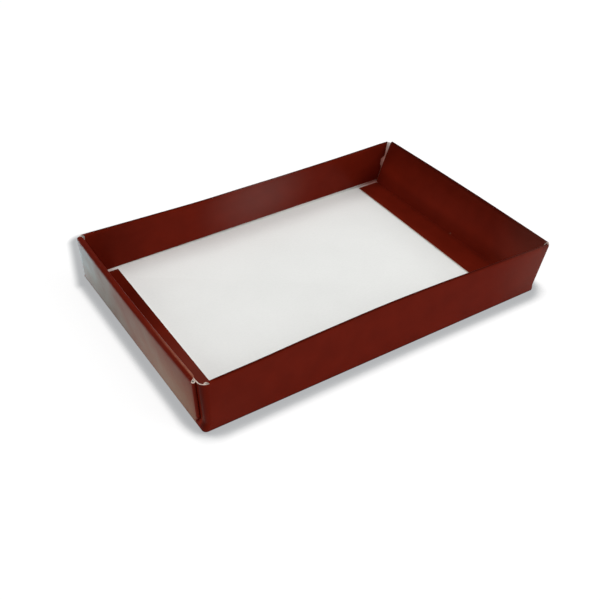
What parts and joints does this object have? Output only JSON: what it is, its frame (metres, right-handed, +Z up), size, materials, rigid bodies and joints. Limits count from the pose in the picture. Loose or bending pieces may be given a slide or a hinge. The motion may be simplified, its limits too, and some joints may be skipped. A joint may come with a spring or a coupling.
{
  "type": "candy box base",
  "caption": "Open rectangular tray folded from one sheet of coated carton, with double walls, rolled rims, web corners and end flanges on a white floor.",
  "frame": {"origin": "centre of the tray's bounding box, at the underside of its floor", "axes": "+X along the tray's length, +Y towards its back long wall, +Z up, the open side"},
  "size_m": [0.206, 0.14, 0.0286],
  "materials": {
    "coated_brown_board": "semi-gloss coated carton, white and uncoated on the sheet's other side"
  },
  "bodies": {
    "root": {"candy_box_base": "coated_brown_board"}
  },
  "joints": []
}
